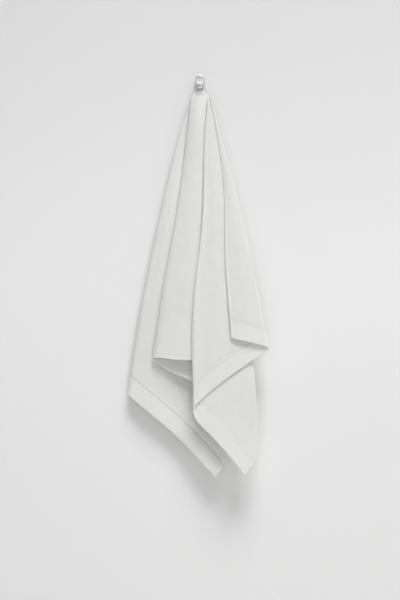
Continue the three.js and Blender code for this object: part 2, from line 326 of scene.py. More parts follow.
@dataclass
class ClothGroups:
    """The shader groups that the towel and its loop share, with the shares of what they mix."""

    cut: TowelCut
    warp_height: float = 0.25
    crossing_height: float = 0.5
    rib_height: float = 0.5
    loop_shift: tuple[float, float, float] = (0.0016, 0.0016, 0.0)
    patch_height: float = 0.9
    painted_loop_shade: float = 0.45
    patch_shade: float = 0.8
    weave: bpy.types.NodeTree = field(init=False)
    pile: bpy.types.NodeTree = field(init=False)
    zones: bpy.types.NodeTree = field(init=False)

    def __post_init__(self) -> None:
        """Builds the groups once."""
        self.weave = self.build_weave()
        self.pile = self.build_pile()
        self.zones = self.build_zones()

    def build_weave(self) -> bpy.types.NodeTree:
        """Flat weave: warp and weft ribs that pass over each other."""
        group, bench = node_group(
            "flat_weave",
            {"Place": "NodeSocketVector", "Threads": "NodeSocketFloat"},
            {"Height": "NodeSocketFloat", "Shade": "NodeSocketFloat"},
        )
        entry = group.nodes.new("NodeGroupInput")
        split = bench.add("ShaderNodeSeparateXYZ", {0: entry.outputs["Place"]})
        waves = []
        for axis in (0, 1):
            turns = bench.math("MULTIPLY", split.outputs[axis], entry.outputs["Threads"])
            waves.append(bench.math("SINE", turns))
        crossing = bench.math("MULTIPLY", waves[0], waves[1])
        crossed = bench.math("MULTIPLY", crossing, self.crossing_height)
        ribs = bench.math("MULTIPLY_ADD", waves[0], self.warp_height, crossed)
        place = entry.outputs["Place"]
        slub = bench.add("ShaderNodeTexNoise", {"Vector": place, "Scale": 160.0, "Detail": 2.0})
        height = bench.math("MULTIPLY_ADD", ribs, self.rib_height, slub.outputs["Fac"])
        exit_node = group.nodes.new("NodeGroupOutput")
        shade = bench.ramp(slub.outputs["Fac"], 0.3, 0.7, 0.0, 1.0)
        bench.feed(exit_node, {"Height": height, "Shade": shade})
        return group

    def build_pile(self) -> bpy.types.NodeTree:
        """Terry pile: close loops, with patches where the pile is brushed or pressed.

        Its Shade paints the loop tops lighter and the gaps between loops darker, as painted light and
        shade.
        """
        group, bench = node_group(
            "terry_pile",
            {"Place": "NodeSocketVector", "Loops": "NodeSocketFloat"},
            {"Height": "NodeSocketFloat", "Shade": "NodeSocketFloat"},
        )
        entry = group.nodes.new("NodeGroupInput")
        place = entry.outputs["Place"]
        shift = bench.add("ShaderNodeTexNoise", {"Vector": place, "Scale": 300.0, "Detail": 1.0})
        moved = bench.add(
            "ShaderNodeVectorMath",
            {0: shift.outputs["Color"], 1: self.loop_shift, 2: place},
            operation="MULTIPLY_ADD",
        )
        loops = bench.add(
            "ShaderNodeTexVoronoi", {"Vector": moved.outputs[0], "Scale": entry.outputs["Loops"]}
        )
        patches = bench.add("ShaderNodeTexNoise", {"Vector": place, "Scale": 34.0, "Detail": 3.0})
        rounded = bench.ramp(loops.outputs["Distance"], 0.0, 0.75, 1.0, 0.0)
        height = bench.math("MULTIPLY_ADD", patches.outputs["Fac"], self.patch_height, rounded)
        brushed = bench.math("MULTIPLY", patches.outputs["Fac"], self.patch_shade)
        # Painted light and shade: the loop tops are lighter and the gaps between loops darker.
        shade = bench.math("MULTIPLY_ADD", rounded, self.painted_loop_shade, brushed)
        exit_node = group.nodes.new("NodeGroupOutput")
        bench.feed(exit_node, {"Height": height, "Shade": shade})
        return group

    def build_zones(self) -> bpy.types.NodeTree:
        """Masks of the towel's hems, stitched lines and flat stripe, from the flat place; the stitched
        lines' mask also places their painted shade.
        """
        cut = self.cut
        group, bench = node_group(
            "towel_zones",
            {"Place": "NodeSocketVector"},
            {zone.value: "NodeSocketFloat" for zone in Zone},
        )
        entry = group.nodes.new("NodeGroupInput")
        split = bench.add("ShaderNodeSeparateXYZ", {0: entry.outputs["Place"]})
        along, down = split.outputs[0], split.outputs[1]
        ends = bench.math("SUBTRACT", cut.long_side / 2 * MM, bench.math("ABSOLUTE", along))
        edges = bench.math("MINIMUM", down, bench.math("SUBTRACT", cut.short_side * MM, down))
        fade = cut.hem_fade * MM
        hem_short = bench.ramp(ends, cut.border * MM, cut.border * MM + fade, 1.0, 0.0)
        hem_long = bench.ramp(edges, cut.long_hem * MM, cut.long_hem * MM + fade, 1.0, 0.0)
        hem = bench.math("MAXIMUM", hem_short, hem_long)
        line = (cut.border + cut.groove_width / 2) * MM
        # The stitched groove and its painted shade are fainter at the right end.
        depth = bench.ramp(along, 0.0, MM, 1.0, cut.right_stitch)
        thread = bench.band(ends, line, cut.thread_half * MM, cut.thread_fade * MM)
        stitch_short = bench.math("MULTIPLY", thread, depth)
        long_line = (cut.long_hem + cut.long_thread_fade) * MM
        thread = bench.band(edges, long_line, cut.long_thread_half * MM, cut.long_thread_fade * MM)
        stitch_long = bench.math("MULTIPLY", thread, cut.long_stitch)
        stitch_shade = bench.math("MAXIMUM", stitch_short, stitch_long)
        middle = (cut.border + cut.groove_width + cut.stripe_end) / 2
        half = cut.stripe_end - middle
        stripe = bench.band(ends, middle * MM, half * MM, fade)
        exit_node = group.nodes.new("NodeGroupOutput")
        bench.feed(exit_node, {Zone.HEM.value: hem, Zone.STITCH.value: stitch_shade, Zone.STRIPE.value: stripe})
        return group


def new_material(name: str) -> tuple[bpy.types.Material, NodeBench, bpy.types.Node]:
    """Makes a material with only a Principled shader and its output.

    Args:
        name: The material's name.

    Returns:
        The material, a bench on its tree and the shader.
    """
    material = bpy.data.materials.new(name)
    material.use_nodes = True
    bench = NodeBench(material.node_tree)
    return material, bench, material.node_tree.nodes["Principled BSDF"]


@dataclass(frozen=True)
class TerryFinish:
    """White cotton terry, with flat-woven hems, stitched lines with painted shade in their grooves, and
    painted light and shade on the pile's loops.
    """

    groups: ClothGroups
    # high is the painted light on the loop tops and low the painted shade between loops; the brushed
    # patches also move the colour between them.
    high: tuple[float, float, float, float] = (0.84, 0.84, 0.822, 1.0)
    low: tuple[float, float, float, float] = (0.78, 0.78, 0.762, 1.0)
    hem: tuple[float, float, float, float] = (0.805, 0.805, 0.788, 1.0)
    hem_light: tuple[float, float, float, float] = (0.825, 0.825, 0.808, 1.0)
    # Painted shade colour of the stitched grooves.
    stitch_shade: tuple[float, float, float, float] = (0.62, 0.615, 0.60, 1.0)
    loops_per_metre: float = 560.0
    threads_per_metre: float = 5200.0
    weave_height: float = 0.35
    stitch_depth: float = 1.2

    def material(self) -> bpy.types.Material:
        """Builds the towel's material on its UV map."""
        material, bench, shader = new_material("cotton_terry")
        place = bench.add("ShaderNodeUVMap", uv_map=FLAT_MAP).outputs["UV"]
        pile = bench.add("ShaderNodeGroup", node_tree=self.groups.pile)
        weave = bench.add("ShaderNodeGroup", node_tree=self.groups.weave)
        zones = bench.add("ShaderNodeGroup", {"Place": place}, node_tree=self.groups.zones)
        bench.feed(pile, {"Place": place, "Loops": self.loops_per_metre})
        bench.feed(weave, {"Place": place, "Threads": self.threads_per_metre})
        hem, stitch_shade, stripe = (zones.outputs[zone.value] for zone in Zone)
        flat = bench.math("MAXIMUM", hem, stripe)
        # The pile's Shade carries painted light on the loop tops and painted shade between loops.
        terry = bench.mix(pile.outputs["Shade"], self.low, self.high)
        woven = bench.mix(weave.outputs["Shade"], self.hem, self.hem_light)
        # Painted shade darkens the stitched grooves, more where they are deeper.
        colour = bench.mix(stitch_shade, bench.mix(flat, terry, woven), self.stitch_shade)
        low = bench.math("MULTIPLY", weave.outputs["Height"], self.weave_height)
        height = bench.mix(flat, pile.outputs["Height"], low)
        sunk = bench.math("SUBTRACT", height, bench.math("MULTIPLY", stitch_shade, self.stitch_depth))
        bump = bench.add("ShaderNodeBump", {"Strength": 0.5, "Distance": 0.0007, "Height": sunk})
        bench.feed(shader, {
            "Base Color": colour,
            "Normal": bump.outputs[0],
            "Roughness": 0.95,
            "Subsurface Weight": 0.5,
            "Subsurface Radius": (1.0, 0.97, 0.92),
            "Subsurface Scale": 0.004,
            "Sheen Weight": 0.5,
            "Sheen Roughness": 0.5,
            "Specular IOR Level": 0.15,
        })
        return material


@dataclass(frozen=True)
class TapeFinish:
    """White woven cotton tape."""

    groups: ClothGroups
    light: tuple[float, float, float, float] = (0.86, 0.86, 0.85, 1.0)
    dark: tuple[float, float, float, float] = (0.76, 0.76, 0.745, 1.0)
    threads_per_metre: float = 6000.0

    def material(self) -> bpy.types.Material:
        """Builds the tape's material on its UV map."""
        material, bench, shader = new_material("cotton_tape")
        place = bench.add("ShaderNodeUVMap", uv_map=FLAT_MAP).outputs["UV"]
        weave = bench.add("ShaderNodeGroup", node_tree=self.groups.weave)
        bench.feed(weave, {"Place": place, "Threads": self.threads_per_metre})
        colour = bench.mix(weave.outputs["Shade"], self.dark, self.light)
        ribs = weave.outputs["Height"]
        bump = bench.add("ShaderNodeBump", {"Strength": 0.4, "Distance": 0.0004, "Height": ribs})
        bench.feed(shader, {
            "Base Color": colour, "Normal": bump.outputs[0], "Roughness": 0.85, "Sheen Weight": 0.1
        })
        return material


@dataclass(frozen=True)
class ChromeFinish:
    """Polished chrome with faint handling marks."""

    bright: tuple[float, float, float, float] = (0.86, 0.865, 0.87, 1.0)
    dull: tuple[float, float, float, float] = (0.76, 0.765, 0.77, 1.0)
    least_rough: float = 0.26
    grain_rough: float = 0.12
    smear_rough: float = 0.10

    def material(self) -> bpy.types.Material:
        """Builds the hook's material on its object coordinates."""
        material, bench, shader = new_material("polished_chrome")
        place = bench.add("ShaderNodeTexCoord").outputs["Object"]
        marks = bench.add("ShaderNodeTexNoise", {"Vector": place, "Scale": 120.0, "Detail": 4.0})
        fine = bench.add("ShaderNodeTexNoise", {"Vector": place, "Scale": 900.0, "Detail": 2.0})
        smear = bench.ramp(marks.outputs["Fac"], 0.45, 0.75, 0.0, 1.0)
        colour = bench.mix(smear, self.bright, self.dull)
        grain = bench.math("MULTIPLY_ADD", fine.outputs["Fac"], self.grain_rough, self.least_rough)
        rough = bench.math("MULTIPLY_ADD", smear, self.smear_rough, grain)
        bench.feed(shader, {"Base Color": colour, "Roughness": rough, "Metallic": 1.0})
        return material


FOLDS = (
    FoldRow("right edge", 0.0, 0.0, 0.921, (40, 60, 64, 78), 90, 90, 5),
    FoldRow("right flap", 11.0, 1.5, 0.965, (48, 91, 137, 177), 88, 82, 4),
    FoldRow("front fold", 33.2, 3.0, 1.003, (10, 0, -30, -31), 81, 71.5, 3),
    FoldRow("right corner", TowelCut().corner_turn, 0.0, 0.996, (38, 75, 104, 111), 75, 75, 3),
    FoldRow("right corner fold", 48.6, 1.1, 0.99, (43, 86, 133, 154), 73.5, 67.5, 2),
    FoldRow("inner left fold", 60.0, 1.0, 0.98, (20, 26, 34, 42), 68.5, 62.5, 1),
    FoldRow("inner right fold", 71.0, 1.0, 0.98, (33, 60, 82, 100), 58.5, 52.5, 0),
    FoldRow("strip, right", 90.0, 0.0, 0.975, (13, 3, -8, -18), 63, 63, 0),
    FoldRow("strip, left", 93.0, 0.0, 0.975, (-25, -35, -46, -56), 64, 64, 0),
    FoldRow("tube fold", 104.0, 8.5, 0.961, (-38, -70, -122, -166), 60, 37, -1),
    FoldRow("middle right fold", 123.6, 0.9, 0.975, (14, 34, 54, 72), 51, 46, -2),
    FoldRow("small pleat", 129.0, 0.8, 0.985, (-2, 2, 6, 8), 42, 37.5, -3),
    FoldRow("corner roll", 135.6, 0.8, 1.003, (11, 29, 46, 61), 40, 34.5, -4),
    FoldRow("left corner", 183.0 - TowelCut().corner_turn, 0.0, 1.003, (5, 17, 29, 38), 30, 30, -4),
    FoldRow("left fold", 153.4, 1.2, 1.002, (-55, -102, -152, -191), 24.5, 17.5, -5),
    FoldRow("back fold", 170.0, 0.9, 0.985, (-10, 8, 22, 34), 12.5, 7, -6),
    FoldRow("left edge", 183.0, 0.0, 0.95, (-26, -50, -78, -104), 6.5, 6.5, -6),
)

SOFT_FORMS = (
    SoftForm("flap, low edge", 0.0, 2.2, -3.0, 0.04, 0.4),
    SoftForm("flap, soft middle", 6.0, 2.4, 1.5, 0.1, 0.8),
    SoftForm("front panel, droop to the fold", 28.6, 2.3, -2.5, 0.1, 0.5),
    SoftForm("front panel, trough", 18.0, 3.0, -1.5, 0.2, 0.9),
    SoftForm("corner panel, swell", 40.0, 4.0, 3.5, 0.3, 0.9),
    SoftForm("centre, rise to the front fold", 90.0, 3.0, 5.0, 0.0, 0.15),
    SoftForm("centre, roll to the left", 104.0, 7.0, -8.0, 0.03, 0.3),
    SoftForm("left panel, hollow under the roll", 143.0, 3.2, -4.5, 0.03, 0.3),
    SoftForm("left panel, fall to the fold", 149.5, 3.2, 9.0, 0.0, 0.4),
    SoftForm("left corner, curl", 138.5, 5.2, 20.0, 0.84, 1.0),
)


@dataclass
class HangingCloth:
    """The towel's cloth on the folds that its solid has, with soft forms and hems.

    Lengths are in millimetres. Every line of the mesh starts at a loop end and runs straight down
    the flat cloth to a hem, and `stations` are the shares of the way down at which `FoldRow.sides`
    are given.
    """

    cut: TowelCut = field(default_factory=TowelCut)
    folds: tuple[FoldRow, ...] = FOLDS
    forms: tuple[SoftForm, ...] = SOFT_FORMS
    stations: tuple[float, ...] = (0.0, 0.15, 0.4, 0.7, 1.0)
    strip_turn: float = 3.0
    out_reach: float = 700.0
    shoulder_drop: float = 16.0
    shoulder_width: float = 3.0
    shoulder_turn: float = 20.0
    top_z: float = -25.0
    top_out: float = 32.0
    layer_step: float = 3.2
    most_lean: float = 0.33
    lean_reach: float = 9.0
    bend_reach: float = 3.5
    bend_share: float = 0.42
    least_drop: float = 0.3
    pressed: float = 0.75
    bend_steps: tuple[float, ...] = (-1, -0.82, -0.62, -0.42, -0.2, 0, 0.2, 0.42, 0.62, 0.82, 1)
    column_turn: float = 1.3
    most_columns: int = 14
    edge_hems: tuple[float, ...] = HEM_STEPS
    edge_turn: float = 2.6
    edge_room: float = 1.12
    top_rows: tuple[float, ...] = HEM_STEPS
    border_rows: tuple[float, ...] = (56, 53, 51.6, 48, 44.6, 43.4, 42.6, 42, 41.4, 40.6, 38, 30, 22)
    middle_rows: int = 84
    row_spread: float = 1.12

    def bend_width(self, row: int, far: np.ndarray) -> np.ndarray:
        """Half the width of a row's bend, in degrees.

        Args:
            row: The fold's number.
            far: Distances down the cloth, in millimetres.

        Returns:
            The half width at each distance.
        """
        fold = self.folds[row]
        if fold.round == 0:
            return np.zeros_like(far)
        beside = min(fold.turn - self.folds[row - 1].turn, self.folds[row + 1].turn - fold.turn)
        least = np.degrees(self.bend_reach / np.maximum(far, LEAST_FAR))
        return np.maximum(fold.round, np.minimum(least, self.bend_share * beside))

    def turn_of(self, column: Column, far: np.ndarray) -> np.ndarray:
        """Turn of a column at each distance down the cloth.

        Args:
            column: The column.
            far: Distances down the cloth, in millimetres.

        Returns:
            The turns, in degrees.
        """
        row = column.row
        if column.hem is not None:
            room = self.edge_turn * column.hem / self.edge_hems[-1]
            away = np.minimum(np.degrees(column.hem / np.maximum(far, LEAST_FAR)), room)
            return away if row == 0 else self.folds[row].turn - away
        if column.part is None:
            return self.folds[row].turn + column.step * self.bend_width(row, far)
        start = self.folds[row].turn + self.bend_width(row, far)
        end = self.folds[row + 1].turn - self.bend_width(row + 1, far)
        return lerp(start, end, column.part)

    def part_between(self, row: int, turn: np.ndarray) -> np.ndarray:
        """Part of the way from one row to the next."""
        return (turn - self.folds[row].turn) / (self.folds[row + 1].turn - self.folds[row].turn)

    def flats_beside(self, column: Column, far: np.ndarray) -> tuple[tuple[int, np.ndarray], ...]:
        """The flats that a column takes its values from.

        Args:
            column: The column.
            far: Distances down the cloth, in millimetres.

        Returns:
            One pair of row and turn on a flat, or two pairs, before and after a bend.
        """
        row, last = column.row, len(self.folds) - 2
        if column.hem is not None:
            return ((min(row, last), self.turn_of(column, far)),)
        if column.part is not None:
            return ((row, self.turn_of(column, far)),)
        width = self.bend_width(row, far)
        turn = self.folds[row].turn
        return ((max(row - 1, 0), turn - width), (min(row, last), turn + width))

    def blended(self, column: Column, far: np.ndarray, values: tuple[float, ...]) -> np.ndarray:
        """One quantity of the fold rows at a column, round across each bend.

        Args:
            column: The column.
            far: Distances down the cloth, in millimetres.
            values: The quantity, one number for each row.

        Returns:
            The quantity at each distance.
        """
        found = []
        for row, turn in self.flats_beside(column, far):
            found.append(lerp(values[row], values[row + 1], self.part_between(row, turn)))
        if len(found) == 1:
            return found[0]
        part = (column.step + 1) / 2
        middle = values[column.row]
        return (1 - part) ** 2 * found[0] + 2 * part * (1 - part) * middle + part**2 * found[1]

    def lean(self, row: int, far: np.ndarray) -> np.ndarray:
        """How far the cloth leans, at a row, toward the layer that it folds into."""
        if row == 0 or self.folds[row].layer == self.folds[row - 1].layer:
            return np.zeros_like(far)
        return np.minimum(self.most_lean, self.lean_reach / np.maximum(far, LEAST_FAR))

    def out_of(self, column: Column, far: np.ndarray) -> np.ndarray:
        """Distance out from the wall, in millimetres.

        Args:
            column: The column.
            far: Distances down the cloth, in millimetres.

        Returns:
            The distances out.
        """
        found = []
        for row, turn in self.flats_beside(column, far):
            fold, following = self.folds[row], self.folds[row + 1]
            part = self.part_between(row, turn)
            layer = fold.layer + lerp(self.lean(row, far), -self.lean(row + 1, far), part)
            low = lerp(fold.after, following.before, part)
            found.append(lerp(self.top_out + self.layer_step * layer, low, far / self.out_reach))
        if len(found) == 1:
            return found[0]
        return lerp(found[0], found[1], smooth((column.step + 1) / 2))

    def along_stations(self, values: list[np.ndarray], t: np.ndarray) -> np.ndarray:
        """Smooth curve through the values at the stations.

        Args:
            values: The value at each station, for every t.
            t: Shares of the way down.

        Returns:
            The curve's value at every t.
        """
        stations, last = self.stations, len(self.stations) - 1
        result = np.zeros_like(t)
        for i in range(last):
            inside = (t >= stations[i]) if i == last - 1 else (t >= stations[i]) & (t < stations[i + 1])
            slopes = []
            for k in (i, i + 1):
                a, b = max(k - 1, 0), min(k + 1, last)
                slopes.append((values[b] - values[a]) / (stations[b] - stations[a]))
            h = stations[i + 1] - stations[i]
            f = (t - stations[i]) / h
            curve = (2 * f**3 - 3 * f**2 + 1) * values[i] + (f**3 - 2 * f**2 + f) * h * slopes[0]
            curve = curve + (3 * f**2 - 2 * f**3) * values[i + 1] + (f**3 - f**2) * h * slopes[1]
            result = np.where(inside, curve, result)
        return result

    def flat_line(self, turn: np.ndarray) -> tuple[np.ndarray, np.ndarray, np.ndarray, np.ndarray]:
        """Lines on the flat cloth.

        Args:
            turn: The turns of the lines, in degrees.

        Returns:
            Each line's start along the top edge, its direction along and down, and its length
            from the top edge to the hem.
        """
        cut = self.cut
        on_strip = (turn >= 90) & (turn <= 90 + self.strip_turn)
        right = turn < 90
        angle = np.radians(np.where(right, turn, turn - self.strip_turn))
        along = np.where(on_strip, 0.0, np.cos(angle))
        down = np.where(on_strip, 1.0, np.sin(angle))
        side = np.where(right, 0.5, -0.5) * cut.loop_spread
        start = np.where(on_strip, cut.loop_spread * (0.5 - (turn - 90) / self.strip_turn), side)
        to_short = cut.half_length / np.maximum(np.abs(along), LEAST_LENGTH)
        to_long = cut.short_side / np.maximum(down, LEAST_LENGTH)
        return start, along, down, np.minimum(to_short, to_long)

    def soft_height(self, turn: np.ndarray, t: np.ndarray) -> np.ndarray:
        """Height of the soft forms, in millimetres toward the room.

        Args:
            turn: Turns of the points, in degrees.
            t: Their shares of the way down.

        Returns:
            The height at each point.
        """
        height = np.zeros_like(turn)
        for form in self.forms:
            away = (turn - form.turn) / form.width
            grown = smooth((t - form.begin) / (form.full - form.begin))
            height = height + form.height * np.exp(-away * away) * grown
        return height

    def columns(self) -> list[Column]:
        """The mesh's columns in order round the cloth.

        Returns:
            Columns across every bend, on every flat and in the hems of the two near edges.
        """
        made = [Column(0, hem=hem) for hem in self.edge_hems]
        last = len(self.folds) - 1
        for row, fold in enumerate(self.folds[:-1]):
            if row > 0:
                steps = (0,) if fold.round == 0 else self.bend_steps
                made += [Column(row, step=step) for step in steps]
            following = self.folds[row + 1]
            width = following.turn - following.round - fold.turn - fold.round
            count = min(round(width / self.column_turn), self.most_columns)
            parts = [k / count for k in range(1, count)]
            if row == 0:
                parts = [part for part in parts if part * width > self.edge_room * self.edge_turn]
            if row == last - 1:
                parts = [part for part in parts if (1 - part) * width > self.edge_room * self.edge_turn]
            made += [Column(row, part=part) for part in parts]
        return made + [Column(last, hem=hem) for hem in reversed(self.edge_hems)]

    def distances(self, start: float, length: float, square: float) -> np.ndarray:
        """Distances down one column, close together at its top and in its hems.

        Args:
            start: Where the column starts, in millimetres from the loop's end.
            length: Where it ends.
            square: The same end, measured square to its hem.

        Returns:
            The distances of its points.
        """
        hem_turn = length / square
        top = start + np.array(self.top_rows, float)
        hem = length - np.array([*self.border_rows, *reversed(HEM_STEPS)], float) * hem_turn
        steps = (np.arange(1, self.middle_rows) / self.middle_rows) ** self.row_spread
        return np.concatenate([top, lerp(top[-1], hem[0], steps), hem])

    def hanging_line(self, column: Column) -> dict[str, np.ndarray]:
        """The middle of the cloth's thickness down one column.

        Args:
            column: The column.

        Returns:
            Its points, their place on the flat cloth and their distance down.
        """
        hem_turn = self.turn_of(column, np.array([self.out_reach]))
        top_x, along, _, length = (float(v[0]) for v in self.flat_line(hem_turn))
        from_strip = max(90 - hem_turn[0], hem_turn[0] - 90 - self.strip_turn, 0.0)
        shoulder = float(smooth(from_strip / self.shoulder_turn))
        on_long_hem = abs(along) * length < self.cut.half_length - TINY
        square = self.cut.short_side if on_long_hem else self.cut.half_length
        far = self.distances(self.shoulder_drop * shoulder, length, square)
        t = far / length
        turn = self.turn_of(column, far)
        start_x = top_x + math.copysign(self.shoulder_width * shoulder, top_x)
        sides = [self.blended(column, far, tuple(row.sides[k] for row in self.folds)) for k in range(4)]
        x = self.along_stations([np.full_like(far, start_x), *sides], t)
        out = self.out_of(column, far)
        run = np.diff(far) * self.blended(column, far, tuple(row.slack for row in self.folds))[1:]
        drop = run**2 - np.diff(x) ** 2 - np.diff(out) ** 2
        fall = np.sqrt(np.maximum(drop, (self.least_drop * run) ** 2))
        z = self.top_z - self.shoulder_drop * shoulder - np.concatenate([[0.0], np.cumsum(fall)])
        out = out + self.soft_height(turn, t)
        line_x, line_along, line_down, _ = self.flat_line(turn)
        flat = np.stack([line_x + line_along * far, line_down * far], axis=-1)
        points = np.stack([x, -out, z], axis=-1)
        return {"points": points, "flat": flat, "far": far, "from_top": far - far[0]}

    def thickness(self, flat: np.ndarray, far: np.ndarray, from_top: np.ndarray) -> np.ndarray:
        """Thickness of the cloth, with its hems, stitched grooves and flat stripe.

        Args:
            flat: Places on the flat cloth, in millimetres.
            far: Distances from the loop's end.
            from_top: Distances from the top of each column.

        Returns:
            The thickness at each point, in millimetres.
        """
        cut = self.cut
        body = lerp(cut.gather_thick, cut.thick, smooth(far / cut.gather_reach))
        ends = cut.long_side / 2 - np.abs(flat[..., 0])
        edges = np.minimum(flat[..., 1], cut.short_side - flat[..., 1])
        shaped = body / cut.thick
        short_hem = 1 - smooth((ends - cut.border) / cut.hem_fade)
        long_hem = 1 - smooth((edges - cut.long_hem) / cut.hem_fade)
        hem = np.maximum(short_hem, cut.long_hem_share * long_hem)
        line = cut.border + cut.groove_width / 2
        depth = np.where(flat[..., 0] > 0, cut.right_stitch, 1.0)
        groove = depth * (1 - smooth((np.abs(ends - line) - cut.groove_half) / cut.groove_fade))
        long_line = np.abs(edges - cut.long_hem - cut.groove_fade)
        beside = 1 - smooth((long_line - cut.long_groove_half) / cut.long_groove_fade)
        groove = np.maximum(groove, cut.long_stitch * beside)
        past_line = smooth((ends - line) / cut.groove_fade)
        stripe = (1 - smooth((ends - cut.stripe_end) / cut.stripe_fade)) * past_line
        extra = cut.hem_extra * hem - cut.groove * groove - cut.stripe_depth * stripe * (1 - groove)
        edge = np.minimum(np.minimum(ends, edges), from_top)
        rounded = np.sqrt(1 - (1 - np.clip(edge / cut.edge_round, cut.least_edge, 1.0)) ** 2)
        return (body + extra * shaped) * rounded

    def faces_of(self, middle: np.ndarray, thick: np.ndarray) -> list[np.ndarray]:
        """The two faces of the cloth, pressed on the inside of each bend.

        Args:
            middle: The middle surface, columns by rows, in millimetres.
            thick: The thickness at its points.

        Returns:
            The points of the room face and of the wall face.
        """
        above = np.concatenate([middle[:, :1], middle[:, :-1]], 1)
        below = np.concatenate([middle[:, 1:], middle[:, -1:]], 1)
        down = unit(below - above)
        step = np.diff(middle, axis=0)
        before = np.concatenate([step[:1], step])
        after = np.concatenate([step, step[-1:]])
        before, after = (v - (v * down).sum(-1, keepdims=True) * down for v in (before, after))
        shorter = np.minimum(np.linalg.norm(before, axis=-1), np.linalg.norm(after, axis=-1))
        before, after = unit(before), unit(after)
        normal = unit(np.cross(before + after, down))
        made = []
        for face in Face:
            turning = ((after - before) * normal).sum(-1) * face.value
            room = self.pressed * shorter / np.maximum(turning, TINY)
            room = np.where(turning > TINY, room, np.inf)
            half = np.minimum(thick / 2, room)
            made.append(middle + normal * (face.value * half)[..., None])
        return made

    def quads(self, columns: int, rows: int) -> list[list[int]]:
        """The faces of the closed cloth.

        Args:
            columns: How many columns the grid has.
            rows: How many rows it has.

        Returns:
            The four point numbers of each face, all facing out.
        """
        room = np.arange(columns * rows).reshape(columns, rows)
        wall = room + columns * rows
        sets = [
            (room[:-1, :-1], room[1:, :-1], room[1:, 1:], room[:-1, 1:]),
            (wall[:-1, :-1], wall[:-1, 1:], wall[1:, 1:], wall[1:, :-1]),
            (room[:-1, 0], wall[:-1, 0], wall[1:, 0], room[1:, 0]),
            (room[:-1, -1], room[1:, -1], wall[1:, -1], wall[:-1, -1]),
            (room[0, :-1], room[0, 1:], wall[0, 1:], wall[0, :-1]),
            (room[-1, :-1], wall[-1, :-1], wall[-1, 1:], room[-1, 1:]),
        ]
        stacked = [np.stack([part.ravel() for part in four], axis=-1) for four in sets]
        return np.concatenate(stacked).tolist()

    def build(self, finish: TerryFinish) -> bpy.types.Object:
        """Makes the towel.

        Args:
            finish: The towel's finish.

        Returns:
            The finished piece, riding on its body.
        """
        lines = [self.hanging_line(column) for column in self.columns()]
        middle, flat, far, from_top = (
            np.stack([line[key] for line in lines]) for key in ("points", "flat", "far", "from_top")
        )
        thick = self.thickness(flat, far, from_top)
        points = np.concatenate([face.reshape(-1, 3) for face in self.faces_of(middle, thick)]) * MM
        places = np.concatenate([flat.reshape(-1, 2)] * 2) * MM
        towel = mesh_piece("towel_cloth", points, self.quads(*middle.shape[:2]), places)
        towel.data.materials.append(finish.material())
        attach(towel, "root")
        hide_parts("towel")
        return towel


@dataclass
class LoopTape:
    """The sewn tape over the peg's neck, in millimetres.

    It is `flat_width` wide when it is flat and `width` wide over the neck.
    """

    spread: float = 38.0
    thick: float = 1.5
    flat_width: float = 10.0
    width: float = 9.8
    edge_cut: float = 0.35
    end_inset: float = 0.05
    neck: float = 10.35
    end_z: float = -24.65
    out: float = 32.0
    arc_steps: int = 40
    strand_steps: int = 14

    def path(self) -> np.ndarray:
        """The tape's middle line, from its right end over the neck to its left end.

        Returns:
            One row of x and z for each point.
        """
        radius = self.neck + self.thick / 2
        end = np.array([self.spread / 2 - self.thick / 2 - self.end_inset, self.end_z])
        reach = math.hypot(*end)
        touch = math.atan2(end[1], end[0]) + math.acos(radius / reach)
        angles = np.linspace(touch, math.pi - touch, self.arc_steps)
        arc = radius * np.stack([np.cos(angles), np.sin(angles)], axis=-1)
        strand = lerp(end, arc[0], np.linspace(0, 1, self.strand_steps, endpoint=False)[:, None])
        left = strand[::-1] * np.array([-1.0, 1.0])
        return np.concatenate([strand, arc, left])

    def section(self) -> np.ndarray:
        """The tape's rounded section, as offsets across its thickness and its width."""
        half, wide, soft = self.thick / 2, self.width / 2, self.edge_cut
        corners = []
        for sx, sy in ((1, 1), (-1, 1), (-1, -1), (1, -1)):
            for cut_x, cut_y in ((0, soft), (soft, 0)) if sx * sy > 0 else ((soft, 0), (0, soft)):
                corners.append((sx * (half - cut_x), sy * (wide - cut_y)))
        return np.array(corners)

    def build(self, finish: TapeFinish) -> bpy.types.Object:
        """Makes the loop.

        Args:
            finish: The tape's finish.

        Returns:
            The finished piece, riding on its body.
        """
        path = self.path()
        tangent = unit(np.gradient(path, axis=0))
        normal = np.stack([tangent[:, 1], -tangent[:, 0]], axis=-1)
        section = self.section()
        count, around = len(path), len(section)
        run = np.concatenate([[0.0], np.cumsum(np.linalg.norm(np.diff(path, axis=0), axis=1))])
        points = np.empty((count, around, 3))
        points[..., 0] = path[:, None, 0] + normal[:, None, 0] * section[None, :, 0]
        points[..., 2] = path[:, None, 1] + normal[:, None, 1] * section[None, :, 0]
        points[..., 1] = -self.out + section[None, :, 1]
        flat = np.stack(np.broadcast_arrays(run[:, None], section[None, :, 1]), axis=-1)
        grid = np.arange(count * around).reshape(count, around)
        beside = np.roll(grid, -1, axis=1)
        sides = np.stack([grid[:-1], grid[1:], beside[1:], beside[:-1]], axis=-1).reshape(-1, 4)
        faces = sides.tolist() + [grid[0].tolist(), grid[-1][::-1].tolist()]
        tape = mesh_piece("loop_tape", points.reshape(-1, 3) * MM, faces, flat.reshape(-1, 2) * MM)
        face_outward()
        tape.data.materials.append(finish.material())
        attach(tape, "root")
        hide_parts("hanging_loop")
        return tape


